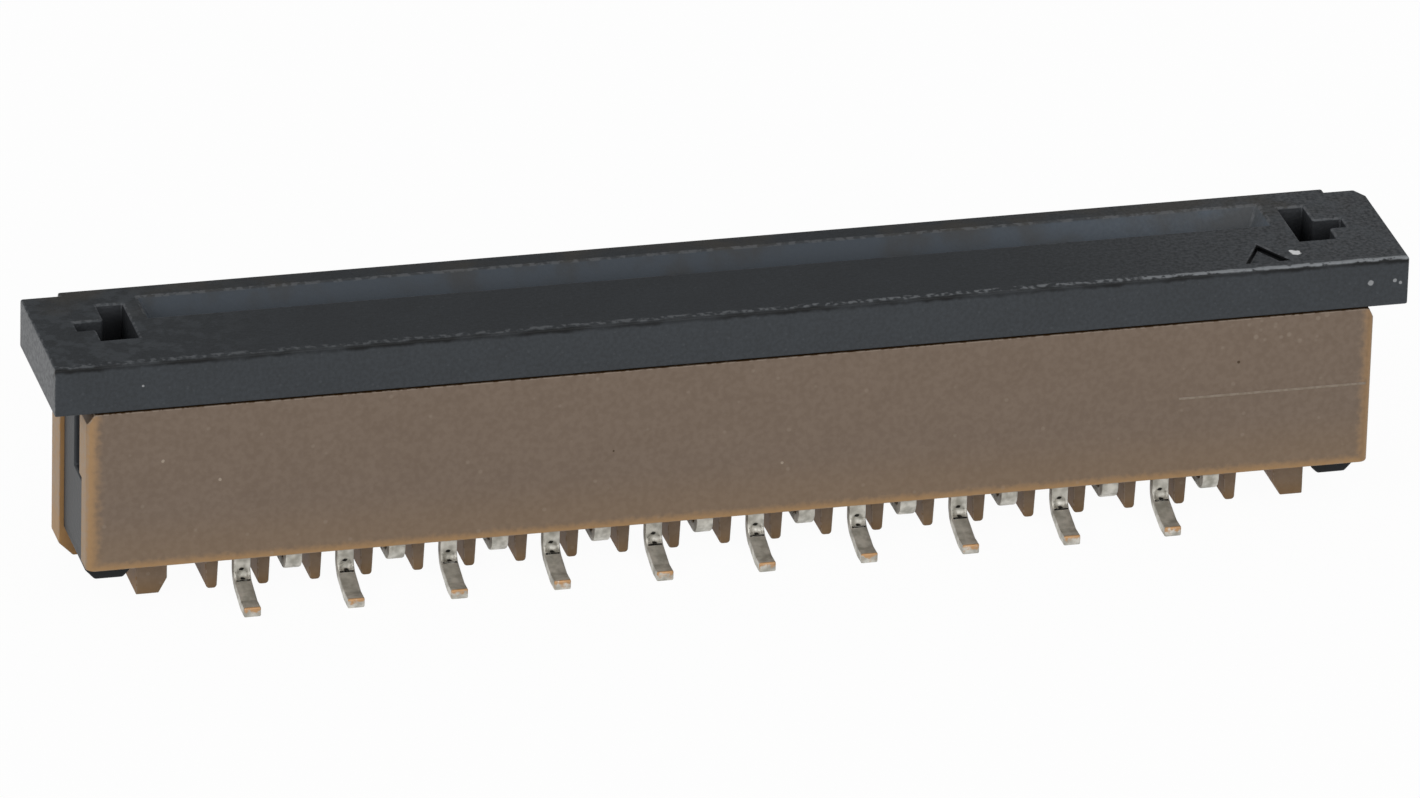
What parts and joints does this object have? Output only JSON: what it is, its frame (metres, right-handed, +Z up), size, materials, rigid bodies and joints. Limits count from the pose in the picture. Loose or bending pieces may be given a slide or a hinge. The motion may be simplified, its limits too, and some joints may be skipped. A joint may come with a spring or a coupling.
{
  "type": "fpc connector",
  "caption": "Upright surface-mount connector for a flat flexible cable, with a lift-up slider in a tall narrow housing and contact tails that turn alternately forwards and backwards.",
  "frame": {"origin": "on the board plane, under the middle of the connector", "axes": "+X along the row of contacts towards the marked first contact, +Y from the front wall to the back wall, +Z up from the board, along the slider's travel"},
  "size_m": [0.0264, 0.0048, 0.0052],
  "materials": {
    "housing_plastic": "moulded warm grey-brown plastic, fine matte, paler and slightly translucent at thin edges",
    "slider_plastic": "moulded charcoal plastic, fine matte, with pale wear specks along its edges",
    "contact_tin": "tin-plated copper-alloy strip, satin, bare copper colour on the sheared tips"
  },
  "bodies": {
    "base": {"housing": "housing_plastic", "contact_01": "contact_tin", "contact_02": "contact_tin", "contact_03": "contact_tin", "contact_04": "contact_tin", "contact_05": "contact_tin", "contact_06": "contact_tin", "contact_07": "contact_tin", "contact_08": "contact_tin", "contact_09": "contact_tin", "contact_10": "contact_tin", "contact_11": "contact_tin", "contact_12": "contact_tin", "contact_13": "contact_tin", "contact_14": "contact_tin", "contact_15": "contact_tin", "contact_16": "contact_tin", "contact_17": "contact_tin", "contact_18": "contact_tin", "contact_19": "contact_tin", "contact_20": "contact_tin"},
    "actuator": {"slider": "slider_plastic"}
  },
  "joints": [
    {"name": "slider_lift", "type": "slide", "parent": "base", "child": "actuator", "axis": [0, 0, 1], "range_m": [0, 0.0011]}
  ]
}
